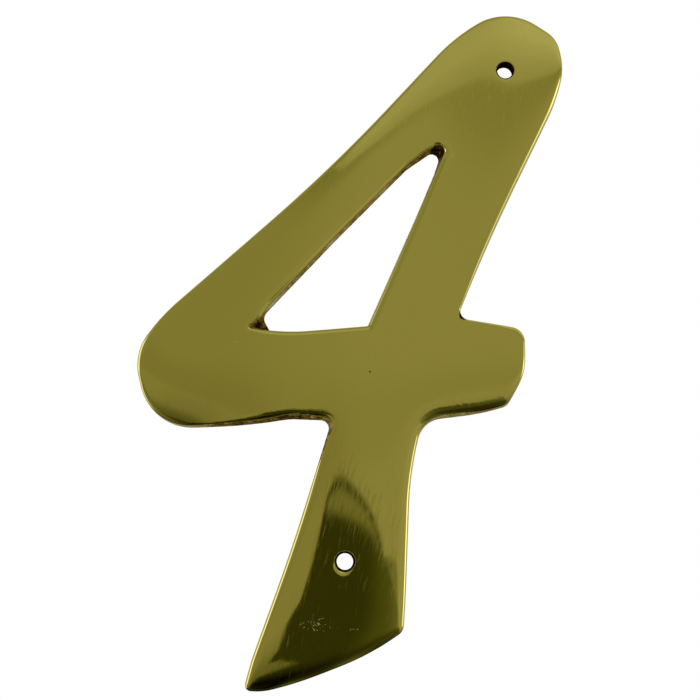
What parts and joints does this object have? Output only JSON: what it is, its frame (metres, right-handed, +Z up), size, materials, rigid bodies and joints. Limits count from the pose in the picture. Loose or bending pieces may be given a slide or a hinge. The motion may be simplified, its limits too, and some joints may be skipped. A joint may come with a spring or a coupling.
{
  "type": "house number",
  "caption": "Cast brass script numeral for a wall or door, with a through counter, a flat back, a rounded polished front edge and plain screw holes.",
  "frame": {"origin": "midway between the two screw holes, on the flat back that lies on the wall", "axes": "+X to the right and +Z up as the number is read, +Y into the wall; the polished face looks along -Y"},
  "size_m": [0.0963, 0.004, 0.1524],
  "materials": {
    "polished_brass": "polished face and edges, rough cast skin in the counter's corners and on the back"
  },
  "bodies": {
    "root": {"numeral_four": "polished_brass"}
  },
  "joints": []
}
